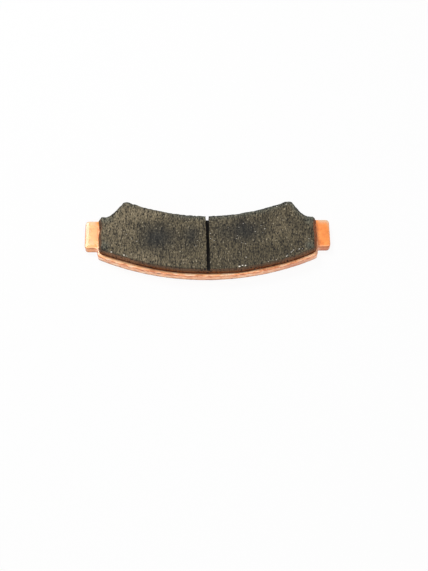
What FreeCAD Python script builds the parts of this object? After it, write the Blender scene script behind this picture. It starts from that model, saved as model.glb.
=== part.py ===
"""Disc brake pad: a copper-plated steel backing plate with an ear at each end, and the sintered
friction block that is bonded to it.

The pad lies on the plate's back, friction face up. X runs along the pad from ear to ear, Y points to the
axis of the brake disc and Z is the way that the friction face looks. The origin is on the plate's back,
midway between the ears.
"""
import FreeCAD
import Part
import Sketcher
import math
import os

# Driving dimensions: name, value in millimetres and what it measures.
DIMENSIONS = (
    ("body_length", 93.4, "plate from end to end, without its ears"),
    ("outer_radius", 108.8, "outer arc of the plate, about the axis of the disc"),
    ("radial_width", 27.9, "plate between its outer and inner arcs, which share a centre"),
    ("plate_thickness", 3.5, "steel plate"),
    ("end_height", 3.6, "upright end of the plate, from the outer arc to the ear"),
    ("plate_corner", 1.8, "radius where the outer arc meets the plate's end"),
    ("ear_width", 13.7, "ear, across the pad"),
    ("ear_reach", 5.55, "ear, outwards from the plate's end"),
    ("ear_corner", 1.6, "radius of the ear's outer corners"),
    ("ear_root", 1.0, "radius in the corner between the ear and the plate's end"),
    ("shoulder_length", 2.8, "flat shoulder, from the plate's end in to the scoop"),
    ("scoop_radius", 5.0, "hollow curve between the shoulder and the horn's flank"),
    ("horn_setback", 12.0, "from the plate's end in to the centre of the horn's round tip"),
    ("horn_tip", 2.6, "radius of the horn's tip"),
    ("edge_roll", 0.4, "radius that the blanking die rolls on the plate's front edge"),
    ("edge_break", 0.2, "chamfer on the plate's back edge"),
    ("friction_thickness", 3.8, "friction block above the plate"),
    ("front_ledge", 1.4, "plate left bare along the outer arc"),
    ("side_margin", 0.4, "plate left bare along the ends, shoulders, horns and inner arc"),
    ("end_bevel_height", 2.5, "bevel along the block's two ends, down from the friction face"),
    ("end_bevel_depth", 1.3, "the same bevel, in from the end"),
    ("foot_corner", 2.0, "radius of the block's corners at the outer arc"),
    ("shoulder_corner", 0.9, "radius of the block's corners at the shoulders"),
    ("block_arris", 0.3, "broken edge round the friction face"),
    ("groove_width", 1.3, "groove across the middle of the block, one saw cut wide"),
    ("groove_web", 0.15, "block left between the deepest point of the groove and the plate"),
    ("groove_low_point", 4.2, "deepest point of the groove, in from the block's inner arc"),
    ("saw_radius", 120.0, "saw that cut the groove and left its floor a shallow arc"),
)

# Height of the disc's axis above the middle of the ears: the outer arc passes through the foot of each end.
DISC_AXIS = ("sqrt(Dimensions.outer_radius ^ 2 - (Dimensions.body_length / 2) ^ 2)"
             " - Dimensions.end_height - Dimensions.ear_width / 2")
PLATE_END = "Dimensions.body_length / 2"
EAR_EDGE = "Dimensions.ear_width / 2"

# How a sketch numbers the points of a curve and its own two axes. Its origin is where the first starts.
START, END, CENTRE = range(1, 4)
X_AXIS, Y_AXIS = range(-1, -3, -1)
SKETCH_ORIGIN = (X_AXIS, START)

# Two places nearer than this, in millimetres, are one place.
TOLERANCE = 1e-4


def write_sheet(doc):
    """Put the driving dimensions into a sheet, one row each, with the name as the value's alias."""
    sheet = doc.addObject("Spreadsheet::Sheet", "Dimensions")
    for row, (name, value, note) in enumerate(DIMENSIONS, start=1):
        sheet.set(f"A{row}", note)
        sheet.set(f"B{row}", str(value))
        sheet.setAlias(f"B{row}", name)
    doc.recompute()
    return sheet


def new_body(doc, label):
    """An empty body, whose label names the piece."""
    body = doc.addObject("PartDesign::Body", label)
    body.Label = label
    return body


def origin_plane(body, role):
    """One of the body's own origin planes."""
    return next(plane for plane in body.Origin.OriginFeatures if plane.Role == role)


def new_sketch(body, name, role):
    """A sketch on one of the body's origin planes."""
    sketch = body.newObject("Sketcher::SketchObject", name)
    sketch.AttachmentSupport = [(origin_plane(body, role), "")]
    sketch.MapMode = "FlatFace"
    return sketch


def size_constraint(sketch, name, formula, kind, *places):
    """Add a named constraint whose value follows a formula of the sheet's dimensions."""
    value = float(sketch.Document.Dimensions.evalExpression(formula))
    index = sketch.addConstraint(Sketcher.Constraint(kind, *places, value))
    sketch.renameConstraint(index, name)
    sketch.setExpression(f"Constraints.{name}", formula)


def arc(centre, radius, first, last):
    """The arc that turns anticlockwise about a centre, from the direction of one point to another's."""
    start, end = (math.atan2(point.y - centre.y, point.x - centre.x) for point in (first, last))
    return Part.ArcOfCircle(Part.Circle(centre, FreeCAD.Vector(0, 0, 1), radius), start, end)


def half_outline(sketch, front_inset, side_inset, with_ear):
    """Draw the right half of an outline that lies inside the plate's by the two insets.

    From the middle of the pad it runs along the outer arc, up the end (and round the ear), in along the
    shoulder, through the scoop, up the flank, over the horn and back along the inner arc. Plate and block
    share the centres of the arcs, scoops and horns, so their outlines stay parallel.
    """
    formulas = {
        "disc_axis": DISC_AXIS,
        "front_radius": f"Dimensions.outer_radius - {front_inset}",
        "inner_radius": f"Dimensions.outer_radius - Dimensions.radial_width + {side_inset}",
        "end": f"{PLATE_END} - {side_inset}",
        "shoulder": f"{EAR_EDGE} - {side_inset}",
        "scoop_centre": f"{PLATE_END} - Dimensions.shoulder_length",
        "scoop_radius": f"Dimensions.scoop_radius + {side_inset}",
        "horn_centre": f"{PLATE_END} - Dimensions.horn_setback",
        "horn_radius": f"Dimensions.horn_tip - {side_inset}",
        "ear_front": EAR_EDGE,
        "ear_tip": f"{PLATE_END} + Dimensions.ear_reach",
    }
    size = {name: float(sketch.Document.Dimensions.evalExpression(text)) for name, text in formulas.items()}

    # The horn's tip touches the inner arc; the flank touches the horn's tip and the scoop.
    axis = FreeCAD.Vector(0, size["disc_axis"])
    reach = size["inner_radius"] + size["horn_radius"]
    horn = FreeCAD.Vector(size["horn_centre"], axis.y - math.sqrt(reach ** 2 - size["horn_centre"] ** 2))
    scoop = FreeCAD.Vector(size["scoop_centre"], size["shoulder"] + size["scoop_radius"])
    across = scoop - horn
    lean = math.atan2(across.y, across.x)
    lean += math.acos((size["horn_radius"] + size["scoop_radius"]) / across.Length)
    outward = FreeCAD.Vector(math.cos(lean), math.sin(lean))
    flank_foot = scoop - outward * size["scoop_radius"]
    flank_head = horn + outward * size["horn_radius"]
    scoop_foot = FreeCAD.Vector(scoop.x, size["shoulder"])
    middle_front = FreeCAD.Vector(0, axis.y - size["front_radius"])
    middle_back = FreeCAD.Vector(0, axis.y - size["inner_radius"])
    end_foot = FreeCAD.Vector(size["end"], axis.y - math.sqrt(size["front_radius"] ** 2 - size["end"] ** 2))
    end_run = [end_foot]
    if with_ear:
        end_run.append(FreeCAD.Vector(size["end"], -size["ear_front"]))
        end_run.append(FreeCAD.Vector(size["ear_tip"], -size["ear_front"]))
        end_run.append(FreeCAD.Vector(size["ear_tip"], size["shoulder"]))
    else:
        end_run.append(FreeCAD.Vector(size["end"], size["shoulder"]))
    end_run.append(scoop_foot)

    front_arc = sketch.addGeometry(arc(axis, size["front_radius"], middle_front, end_foot))
    runs = [sketch.addGeometry(Part.LineSegment(a, b)) for a, b in zip(end_run, end_run[1:])]
    scoop_arc = sketch.addGeometry(arc(scoop, size["scoop_radius"], flank_foot, scoop_foot))
    flank = sketch.addGeometry(Part.LineSegment(flank_foot, flank_head))
    horn_arc = sketch.addGeometry(arc(horn, size["horn_radius"], flank_head, axis))
    inner_arc = sketch.addGeometry(arc(axis, size["inner_radius"], middle_back, horn))
    middle = sketch.addGeometry(Part.LineSegment(middle_back, middle_front))

    for kind, *places in (
        ("Tangent", runs[-1], END, scoop_arc, END),
        ("Tangent", scoop_arc, START, flank, START),
        ("Tangent", flank, END, horn_arc, START),
        ("Tangent", horn_arc, END, inner_arc, END),
        ("Coincident", front_arc, END, runs[0], START),
        ("Coincident", inner_arc, START, middle, START),
        ("Coincident", middle, END, front_arc, START),
        ("Coincident", inner_arc, CENTRE, front_arc, CENTRE),
        ("PointOnObject", front_arc, CENTRE, Y_AXIS),
        ("PointOnObject", middle, START, Y_AXIS),
        ("PointOnObject", middle, END, Y_AXIS),
    ):
        sketch.addConstraint(Sketcher.Constraint(kind, *places))
    for before, after in zip(runs, runs[1:]):
        sketch.addConstraint(Sketcher.Constraint("Coincident", before, END, after, START))
    for place, run in enumerate(runs):
        sketch.addConstraint(Sketcher.Constraint("Horizontal" if place % 2 else "Vertical", run))

    sized = [
        ("disc_axis", "DistanceY", *SKETCH_ORIGIN, front_arc, CENTRE),
        ("front_radius", "Radius", front_arc),
        ("inner_radius", "Radius", inner_arc),
        ("end", "DistanceX", *SKETCH_ORIGIN, runs[0], END),
        ("shoulder", "DistanceY", *SKETCH_ORIGIN, runs[-1], START),
        ("scoop_centre", "DistanceX", *SKETCH_ORIGIN, scoop_arc, CENTRE),
        ("scoop_radius", "Radius", scoop_arc),
        ("horn_centre", "DistanceX", *SKETCH_ORIGIN, horn_arc, CENTRE),
        ("horn_radius", "Radius", horn_arc),
    ]
    if with_ear:
        sized.append(("ear_front", "DistanceY", runs[1], START, *SKETCH_ORIGIN))
        sized.append(("ear_tip", "DistanceX", *SKETCH_ORIGIN, runs[2], START))
    for name, *rule in sized:
        size_constraint(sketch, name, formulas[name], *rule)
    return end_run


def mirror(doc, body, feature):
    """Repeat a feature across the middle of the pad."""
    both = body.newObject("PartDesign::Mirrored", feature.Name + "Mirrored")
    both.Originals = [feature]
    both.MirrorPlane = (origin_plane(body, "YZ_Plane"), [""])
    body.Tip = both
    doc.recompute()
    return both


def raise_outline(doc, body, sketch, thickness):
    """Raise a half outline by a thickness and mirror it."""
    half = body.newObject("PartDesign::Pad", sketch.Name + "Half")
    half.Profile = sketch
    half.setExpression("Length", thickness)
    return mirror(doc, body, half)


def cut_across(doc, body, sketch, width):
    """Cut a closed sketch out of the body, to half the width on each side of the sketch's plane."""
    before = body.Shape.Volume
    cut = body.newObject("PartDesign::Pocket", sketch.Name + "Cut")
    cut.Profile = sketch
    cut.SideType = "Symmetric"
    cut.setExpression("Length", width)
    doc.recompute()
    if not cut.Shape.Volume < before:
        raise RuntimeError(f"{cut.Name} takes nothing from {body.Label}")
    return cut


def edges_from(feature, feet):
    """Names of the edges that rise from these points of the feature's base, and from their mirror images."""
    names = []
    for number, edge in enumerate(feature.Shape.Edges, start=1):
        low, high = sorted((vertex.Point for vertex in edge.Vertexes), key=lambda point: point.z)
        for foot in feet:
            level = abs(high.z - low.z) < TOLERANCE
            if not level and math.hypot(abs(low.x) - foot.x, low.y - foot.y) < TOLERANCE:
                names.append(f"Edge{number}")
    return names


def faces_towards(feature, direction):
    """Names of the feature's flat faces that look one way."""
    names = []
    for number, face in enumerate(feature.Shape.Faces, start=1):
        if isinstance(face.Surface, Part.Plane) and face.normalAt(0, 0).isEqual(direction, TOLERANCE):
            names.append(f"Face{number}")
    return names


def dress(doc, body, kind, name, base, places, size_name, formula):
    """Round or chamfer the named edges, or all the edges of the named faces, of a feature."""
    feature = body.newObject(kind, name)
    feature.Base = (base, places)
    feature.setExpression(size_name, formula)
    doc.recompute()
    return feature


def build_backing_plate(doc):
    """The plate, blanked from sheet: rounded corners, a rolled front edge and a broken back edge."""
    body = new_body(doc, "backing_plate")
    sketch = new_sketch(body, "PlateOutline", "XY_Plane")
    end_foot, ear_root, ear_front, ear_back, _ = half_outline(sketch, "0", "0", with_ear=True)
    plate = raise_outline(doc, body, sketch, "Dimensions.plate_thickness")
    for name, feet, radius in (
        ("PlateCorners", [end_foot], "Dimensions.plate_corner"),
        ("EarRoots", [ear_root], "Dimensions.ear_root"),
        ("EarCorners", [ear_front, ear_back], "Dimensions.ear_corner"),
    ):
        plate = dress(doc, body, "PartDesign::Fillet", name, plate, edges_from(plate, feet), "Radius", radius)
    front = faces_towards(plate, FreeCAD.Vector(0, 0, 1))
    plate = dress(doc, body, "PartDesign::Fillet", "RolledEdge", plate, front,
                  "Radius", "Dimensions.edge_roll")
    back = faces_towards(plate, FreeCAD.Vector(0, 0, -1))
    dress(doc, body, "PartDesign::Chamfer", "BrokenEdge", plate, back,
          "Size", "Dimensions.edge_break")
    return body


def bevel_ends(doc, body):
    """Bevel the block along the top of its two ends; the rest of each end stays upright."""
    sketch = new_sketch(body, "EndBevel", "XZ_Plane")
    formulas = {
        "end": f"{PLATE_END} - Dimensions.side_margin",
        "face": "Dimensions.friction_thickness",
        "depth": "Dimensions.end_bevel_depth",
        "height": "Dimensions.end_bevel_height",
    }
    end, face, depth, height = (float(doc.Dimensions.evalExpression(text)) for text in formulas.values())
    outer = FreeCAD.Vector(end, face)
    inner = FreeCAD.Vector(end - depth, face)
    lower = FreeCAD.Vector(end, face - height)
    top = sketch.addGeometry(Part.LineSegment(outer, inner))
    bevel = sketch.addGeometry(Part.LineSegment(inner, lower))
    side = sketch.addGeometry(Part.LineSegment(lower, outer))
    for before, after in ((top, bevel), (bevel, side), (side, top)):
        sketch.addConstraint(Sketcher.Constraint("Coincident", before, END, after, START))
    sketch.addConstraint(Sketcher.Constraint("Horizontal", top))
    sketch.addConstraint(Sketcher.Constraint("Vertical", side))
    size_constraint(sketch, "end", formulas["end"], "DistanceX", *SKETCH_ORIGIN, top, START)
    size_constraint(sketch, "face", formulas["face"], "DistanceY", *SKETCH_ORIGIN, top, START)
    size_constraint(sketch, "depth", formulas["depth"], "DistanceX", top, END, top, START)
    size_constraint(sketch, "height", formulas["height"], "DistanceY", side, START, side, END)
    mirror(doc, body, cut_across(doc, body, sketch, "2 * Dimensions.outer_radius"))


def cut_groove(doc, body):
    """Cut the groove as the saw did: a disc one cut wide, sunk into the block from the inner arc's side."""
    sketch = new_sketch(body, "SawDisc", "YZ_Plane")
    inner_edge = f"{DISC_AXIS} - Dimensions.outer_radius + Dimensions.radial_width - Dimensions.side_margin"
    low_point = f"{inner_edge} - Dimensions.groove_low_point"
    height = "Dimensions.saw_radius + Dimensions.groove_web"
    radius = "Dimensions.saw_radius"
    centre = FreeCAD.Vector(*(float(doc.Dimensions.evalExpression(text)) for text in (low_point, height)))
    saw_edge = Part.Circle(centre, FreeCAD.Vector(0, 0, 1), float(doc.Dimensions.evalExpression(radius)))
    saw = sketch.addGeometry(saw_edge)
    size_constraint(sketch, "low_point", low_point, "DistanceX", *SKETCH_ORIGIN, saw, CENTRE)
    size_constraint(sketch, "height", height, "DistanceY", *SKETCH_ORIGIN, saw, CENTRE)
    size_constraint(sketch, "saw_radius", radius, "Radius", saw)
    cut_across(doc, body, sketch, "Dimensions.groove_width")


def build_friction_block(doc):
    """The block, pressed to the plate's outline less its margins, bevelled at its ends and then sawn."""
    body = new_body(doc, "friction_block")
    sketch = new_sketch(body, "BlockOutline", "XY_Plane")
    end_foot, end_head, _ = half_outline(sketch, "Dimensions.front_ledge", "Dimensions.side_margin",
                                         with_ear=False)
    block = raise_outline(doc, body, sketch, "Dimensions.friction_thickness")
    for name, foot, radius in (
        ("FootCorners", end_foot, "Dimensions.foot_corner"),
        ("ShoulderCorners", end_head, "Dimensions.shoulder_corner"),
    ):
        block = dress(doc, body, "PartDesign::Fillet", name, block, edges_from(block, [foot]),
                      "Radius", radius)
    face = faces_towards(block, FreeCAD.Vector(0, 0, 1))
    dress(doc, body, "PartDesign::Chamfer", "BrokenArris", block, face, "Size", "Dimensions.block_arris")
    bevel_ends(doc, body)
    cut_groove(doc, body)
    body.setExpression("Placement.Base.z", "Dimensions.plate_thickness")
    return body


def check(doc, bodies):
    """Stop if any object failed to compute or any piece isn't one sound solid."""
    failed = [item.Name for item in doc.Objects if {"Invalid", "Error"} & set(item.State)]
    if failed:
        raise RuntimeError("failed: " + ", ".join(failed))
    for body in bodies:
        shape = body.Shape
        if shape.isNull() or not shape.isValid() or len(shape.Solids) != 1:
            raise RuntimeError(f"{body.Label} is not one sound solid")


def main():
    doc = FreeCAD.newDocument("disc_brake_pad")
    write_sheet(doc)
    bodies = [build_backing_plate(doc), build_friction_block(doc)]
    doc.recompute()
    check(doc, bodies)
    os.makedirs("parts", exist_ok=True)
    for body in bodies:
        body.Shape.exportStep(f"parts/{body.Label}.step")
        print(f"{body.Label}: {body.Shape.Volume:.1f} mm3")


main()
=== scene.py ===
"""Disc brake pad: the looks of its copper-plated backing plate and its sintered friction block.

The pad lies on its back, friction face up, as in its own drawing: X from ear to ear, Y to the axis of the
brake disc, Z up. Lengths are in metres, and MM turns millimetres into them.
"""
import math

import bmesh
import bpy
import numpy as np
from bpy.props import FloatProperty, FloatVectorProperty, PointerProperty
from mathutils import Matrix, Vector


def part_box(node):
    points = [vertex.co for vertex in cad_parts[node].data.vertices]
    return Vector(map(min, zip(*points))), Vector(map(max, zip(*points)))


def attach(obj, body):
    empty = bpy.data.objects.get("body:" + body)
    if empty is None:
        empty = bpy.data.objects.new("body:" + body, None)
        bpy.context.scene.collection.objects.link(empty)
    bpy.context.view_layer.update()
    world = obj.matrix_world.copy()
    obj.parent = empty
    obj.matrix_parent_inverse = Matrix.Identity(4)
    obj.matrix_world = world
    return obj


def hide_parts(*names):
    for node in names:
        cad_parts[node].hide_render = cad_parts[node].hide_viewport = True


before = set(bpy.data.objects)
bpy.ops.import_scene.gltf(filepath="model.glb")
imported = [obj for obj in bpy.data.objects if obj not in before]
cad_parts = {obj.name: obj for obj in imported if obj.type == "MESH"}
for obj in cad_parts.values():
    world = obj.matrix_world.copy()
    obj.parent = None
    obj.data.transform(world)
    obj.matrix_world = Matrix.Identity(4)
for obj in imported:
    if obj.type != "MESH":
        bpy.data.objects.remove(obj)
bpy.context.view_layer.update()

bl_info = {
    "name": "Disc brake pad",
    "version": (1, 0, 0),
    "blender": (4, 5, 0),
    "location": "3D View > Sidebar > Brake pad",
    "description": "Builds the finished surfaces of a disc brake pad, and a white stage for it",
    "category": "Object",
}

MM = 0.001
PLATE_LOW, PLATE_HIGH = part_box("backing_plate")
BLOCK_LOW, BLOCK_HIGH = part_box("friction_block")
BLOCK_THICKNESS = BLOCK_HIGH.z - BLOCK_LOW.z

# Points along each arc of an outline, before the outline is spaced evenly.
ARC_POINTS = 65
# Random numbers along each side of a noise lattice.
LATTICE = 64
# Radius that stands for no pit, in squares of the lattice.
NO_PIT = 1e-6
# Distance within which the points of two grids' shared border are merged.
MERGE_DISTANCE = 0.0005 * MM
# Width of the bare strip of plate in front of the block.
BARE_REACH = 1.6 * MM
# Width of the dark line of painted contact shadow on the plate along the block's foot.
FOOT_SHADOW_REACH = 0.7 * MM
# Width of the worn strip along the back of the ears.
WORN_REACH = 1.3 * MM
# Width of the dark line along the front arris of the block's left half.
BROW_REACH = 0.4 * MM
# Width of the grey strip along the back edge of the friction face.
BACK_REACH = 1.8 * MM


def linear(code):
    """Linear red, green, blue and alpha of an sRGB hex colour."""
    shares = [int(code[place:place + 2], 16) / 255 for place in (1, 3, 5)]
    return (*(s / 12.92 if s <= 0.04045 else ((s + 0.055) / 1.055) ** 2.4 for s in shares), 1.0)


def length(name, millimetres, description):
    """A length, given in millimetres and kept in metres."""
    return FloatProperty(name=name, description=description, default=millimetres * MM, unit="LENGTH")


def point(name, millimetres, description):
    """A place, given in millimetres and kept in metres."""
    place = [part * MM for part in millimetres]
    return FloatVectorProperty(name=name, description=description, default=place,
                               subtype="TRANSLATION", unit="LENGTH")


def angle(name, degrees, description):
    """An angle, given in degrees and kept in radians."""
    return FloatProperty(name=name, description=description, default=math.radians(degrees), subtype="ANGLE")


def share(name, value, description):
    """A plain number, such as a brightness."""
    return FloatProperty(name=name, description=description, default=value)


def colour(name, code, description):
    """A colour, given as sRGB hex and kept linear."""
    return FloatVectorProperty(name=name, description=description, default=linear(code),
                               size=4, min=0, max=1, subtype="COLOR")


class PlateSizes(bpy.types.PropertyGroup):
    """Sizes of the backing plate that its box doesn't give."""
    outer_radius: length("Outer radius", 108.8, "Outer arc, about the axis of the disc")
    radial_width: length("Radial width", 27.9, "Between the outer and inner arcs, which share a centre")
    body_length: length("Body length", 93.4, "From end to end, without the ears")
    plate_corner: length("Plate corner", 1.8, "Radius where the outer arc meets the plate's end")
    ear_width: length("Ear width", 13.7, "Ear, across the pad")
    ear_corner: length("Ear corner", 1.6, "Radius of the ear's outer corners")
    ear_root: length("Ear root", 1.0, "Radius in the corner between the ear and the plate's end")
    shoulder_length: length("Shoulder", 2.8, "Flat shoulder, from the plate's end in to the scoop")
    scoop_radius: length("Scoop", 5.0, "Hollow curve between the shoulder and the horn's flank")
    horn_setback: length("Horn setback", 12.0, "From the plate's end in to the centre of the horn's tip")
    horn_tip: length("Horn tip", 2.6, "Radius of the horn's tip")
    edge_roll: length("Edge roll", 0.4, "Radius that the blanking die rolled on the front edge")
    crown: length("Crown", 0.1, "How far the front face falls off towards the rolled edge")
    crown_width: length("Crown width", 1.4, "Strip along the edge over which the front face falls off")
    edge_break: length("Edge break", 0.1, "Chamfer on the back edge")
    sheared_band: length("Sheared band", 1.3, "Smooth upper band of the blanked edge, below the roll")
    tear_depth: length("Tear depth", 0.05, "How far the torn lower band stands back from the sheared one")
    mesh_step: length("Mesh step", 0.3, "Space between the points of the outline")


class BlockSizes(bpy.types.PropertyGroup):
    """Sizes of the friction block that its box doesn't give, and of the texture of its surface."""
    side_margin: length("Side margin", 0.4, "Plate left bare at the ends, shoulders, horns and inner arc")
    foot_corner: length("Foot corner", 2.0, "Radius of the corners at the outer arc")
    shoulder_corner: length("Shoulder corner", 0.9, "Radius of the corners at the shoulders")
    end_bevel_height: length("End bevel height", 2.5, "Bevel of the block's ends, down from the face")
    end_bevel_depth: length("End bevel depth", 1.3, "Bevel of the block's ends, in along the face")
    top_corner: share("Top corner", 0.4, "Shoulder corner at the face, as a share of that at the foot")
    arris: length("Arris", 0.22, "Rounded edge round the friction face")
    sawn_arris: length("Sawn arris", 0.1, "Rounded edge along the saw cut")
    groove_width: length("Groove width", 1.3, "One saw cut, across the middle")
    groove_web: length("Groove web", 0.15, "Block left below the deepest point of the groove")
    groove_low_point: length("Groove low point", 4.2, "Deepest point of the groove, in from the inner arc")
    groove_skew: angle("Groove skew", 1.06, "Turn of the saw cut from straight across")
    skew_reach: length("Skew reach", 8.0, "Distance over which the face follows the turned saw cut")
    saw_radius: length("Saw radius", 120.0, "Saw that left the groove's floor a shallow arc")
    saw_flare: length("Saw flare", 0.06, "How much each wall of the groove leans outwards")
    mesh_step: length("Mesh step", 0.2, "Space between the points of the surface")
    grain_depth: length("Grain depth", 0.035, "Height of the powder's grains")
    streak_depth: length("Streak depth", 0.03, "Depth of the grinding marks across the pad")
    pit_depth: length("Pit depth", 0.2, "Depth of the open pores")
    chip_depth: length("Chip depth", 0.16, "Depth of the breaks in the face")
    ragged_depth: length("Ragged depth", 0.12, "How far the walls and arrises stray from their true line")


class PadColours(bpy.types.PropertyGroup):
    """Colours of the two materials."""
    face_copper: colour("Face copper", "#E9903D", "Copper plating on the flat faces")
    deep_copper: colour("Deep copper", "#DC7926", "The same plating where it is thicker")
    # Besides orange stains, this colour paints shade in the left end's corner by the block.
    burnt_copper_and_shade: colour("Burnt copper", "#C4622A", "Plating stained orange along the rolled edge")
    sheared_copper: colour("Sheared copper", "#FFAF74", "Plating on the smooth upper band of the edge")
    torn_copper: colour("Torn copper", "#FFBA82", "Plating on the torn lower band of the edge")
    # Painted highlight: the bare strip in front of the block and the left ear are painted paler, for the
    # light that they catch.
    ledge_highlight: colour("Ledge copper", "#FFC690", "Plating on the bare strip in front of the block")
    worn_copper: colour("Worn copper", "#D9B08A", "Plating rubbed thin along the back of the ears")
    # Painted glints: the bright streaks of the edge stand in for highlights.
    glint: colour("Glint", "#FFDEBC", "Streaks of the edge that were burnished bright")
    # Besides brown spots, this colour paints the block's shadow on the right ear and shade at the foot of
    # the plate's edge.
    tarnish_and_shade: colour("Tarnish", "#8E4A26", "Brown spots where the plating is thin or stained")
    # Painted contact shadow: the dark line along the block's foot, on plate and walls.
    foot_shadow: colour("Foot stain", "#451500", "Dark line along the block's foot, on plate and walls")
    binder: colour("Binder", "#5B523F", "Ground face of the sintered powder")
    # Darker at random over the face, and painted shade, mostly on the face's right half.
    binder_dark_and_shade: colour("Dark binder", "#443D2E", "The same face where it was ground less")
    # Painted sheen: the face painted paler where the light falls, mostly on its left half.
    binder_sheen: colour("Pale binder", "#7A6E58", "The same face where it was ground most")
    slate: colour("Slate", "#51564F", "Face near its corners and back edge, where it is denser")
    smudge: colour("Smudge", "#262521", "Graphite rubbed into the face")
    speck: colour("Speck", "#B0A58D", "Bright metal grains")
    # Painted highlight: the chips are fresh metal, painted brighter where their far wall catches the light.
    chip: colour("Chip", "#F4EDE0", "Fresh breaks in the face")
    # Painted shade: the insides of pits, open pores and the saw cut are painted dark.
    pore_shade: colour("Pore", "#15120E", "Inside of pores and of the saw cut")
    wall: colour("Wall", "#634B37", "Pressed walls of the block")
    wall_pale: colour("Pale wall", "#7E5A40", "The walls towards the pad's two ends")
    # Painted reflection: the walls are painted redder near the plate, with the copper's light.
    wall_copper_reflection: colour("Wall foot", "#7C4212", "The walls near the plate, where copper has run into them")


class StageSettings(bpy.types.PropertyGroup):
    """Camera, light and floor."""
    aim: point("Aim", (2.58, -23.51, 0.0), "Point at the middle of the picture")
    elevation: angle("Elevation", 60.0, "Camera above the horizon")
    azimuth: angle("Azimuth", -0.5, "Camera's turn round the pad from its outer arc")
    distance: length("Distance", 515.3, "Camera to the point that it aims at")
    focal_length: FloatProperty(
        name="Focal length", description="Lens, for a 36 mm long side of the picture",
        default=77.35, unit="CAMERA")
    sky: share("Sky", 0.4, "Brightness of the even light all round")
    overhead: share("Overhead", 1.0, "Brightness of the large softbox above the pad")
    overhead_size: length("Overhead size", 700.0, "Side of the large softbox")
    overhead_place: point("Overhead place", (0, -60, 640), "Middle of the large softbox")
    fill: share("Fill", 0.6, "Brightness of the softbox in front of the pad")
    fill_size: length("Fill size", 600.0, "Side of the softbox in front")
    fill_place: point("Fill place", (-150, -450, 480), "Middle of the softbox in front")
    key: share("Key", 11.5, "Brightness of the small softbox behind the pad, on its left")
    key_size: length("Key size", 200.0, "Side of the small softbox")
    key_place: point("Key place", (-224, 330, 500), "Middle of the small softbox")
    floor_size: length("Floor", 12000.0, "Side of the square floor")
    floor_white: share("Floor white", 0.9, "Share of plain white in the floor as it is seen")
    paper: colour("Paper", "#F2F2F2", "White paper of the floor")


def smooth_step(value, low, high):
    """0 below low, 1 above high, and an S-shaped rise between them."""
    part = np.clip((value - low) / (high - low), 0, 1)
    return part * part * (3 - 2 * part)


def bell(distance, reach):
    """A bell curve: e to the power of minus the square of distance over reach, so 1 at no distance."""
    return np.exp(-(distance / reach) ** 2)


def lattice_noise(points, spacing, seed):
    """Smooth noise from -1 to 1: random numbers on a lattice of that spacing (one length, or one for each
    axis), and between the lattice's points their mean, weighted along each axis by an S-shaped step."""
    table = np.random.default_rng(seed).uniform(-1, 1, (LATTICE,) * 3)
    place = points / spacing
    cell = np.floor(place).astype(int)
    part = smooth_step(place - cell, 0, 1)
    total = np.zeros(points.shape[:-1])
    for corner in np.ndindex(2, 2, 2):
        weight = np.prod(np.where(np.array(corner, bool), part, 1 - part), axis=-1)
        index = (cell + corner) % LATTICE
        total += weight * table[index[..., 0], index[..., 1], index[..., 2]]
    return total


def pit_field(points, spacing, smallest, largest, seed):
    """Depth, from 0 to 1, of round pits: each square of a lattice holds one, at a random place and with a
    random radius, and its depth is 1 less the square of the distance from its middle over the radius.
    A radius below zero means no pit, so a negative smallest leaves some squares without one."""
    random = np.random.default_rng(seed)
    middle = random.random((LATTICE, LATTICE, 2))
    radius = random.uniform(smallest, largest, (LATTICE, LATTICE)) / spacing
    place = points[..., :2] / spacing
    cell = np.floor(place).astype(int)
    depth = np.zeros(points.shape[:-1])
    for step in np.ndindex(3, 3):
        near = cell + step - 1
        row, column = np.moveaxis(near % LATTICE, -1, 0)
        gap = np.linalg.norm(place - near - middle[row, column], axis=-1)
        reach = np.maximum(radius[row, column], NO_PIT)
        depth = np.maximum(depth, 1 - (gap / reach) ** 2)
    return depth


def arc(centre, radius, start, end):
    """Points on a circle about a centre, from one direction to another, in radians."""
    turn = np.linspace(start, end, ARC_POINTS)
    return np.stack((centre[0] + radius * np.cos(turn), centre[1] + radius * np.sin(turn)), axis=-1)


def along_path(path):
    """Distance of each point of a path from its first point, along the path."""
    gaps = np.linalg.norm(np.diff(path, axis=0), axis=1)
    return np.concatenate(([0], np.cumsum(gaps)))


def spaced(path, count):
    """Points at even distances along a path, from its first point to its last."""
    along = along_path(path)
    places = np.linspace(0, along[-1], count)
    return np.stack([np.interp(places, along, path[:, axis]) for axis in (0, 1)], axis=-1)


def outward(path):
    """Unit normals on the right-hand side of a path, from the differences of its points."""
    along = np.gradient(path, axis=0)
    along /= np.linalg.norm(along, axis=-1, keepdims=True)
    return np.stack((along[:, 1], -along[:, 0]), axis=-1)


def lifted(flat, height):
    """Points of a plane, each at a height."""
    return np.concatenate((flat, np.broadcast_to(height, flat.shape[:-1])[..., None]), axis=-1)


def disc_axis(plate):
    """Distance of the disc's axis from the middle of the ears."""
    return PLATE_LOW.y + plate.outer_radius


def front_edge(plate, start, radius, end, corner):
    """Right half of an outer edge, from the pad's middle to the foot of its end: an arc about the disc's
    axis, and the corner's arc, which touches it and the upright line of the end."""
    axis = disc_axis(plate)
    centre = (end - corner, axis - math.sqrt((radius - corner) ** 2 - (end - corner) ** 2))
    touch = math.atan2(centre[1] - axis, centre[0])
    return np.concatenate((
        arc((0, axis), radius, math.asin(start / radius) - math.pi / 2, touch),
        arc(centre, corner, touch, 0),
    ))


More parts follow.
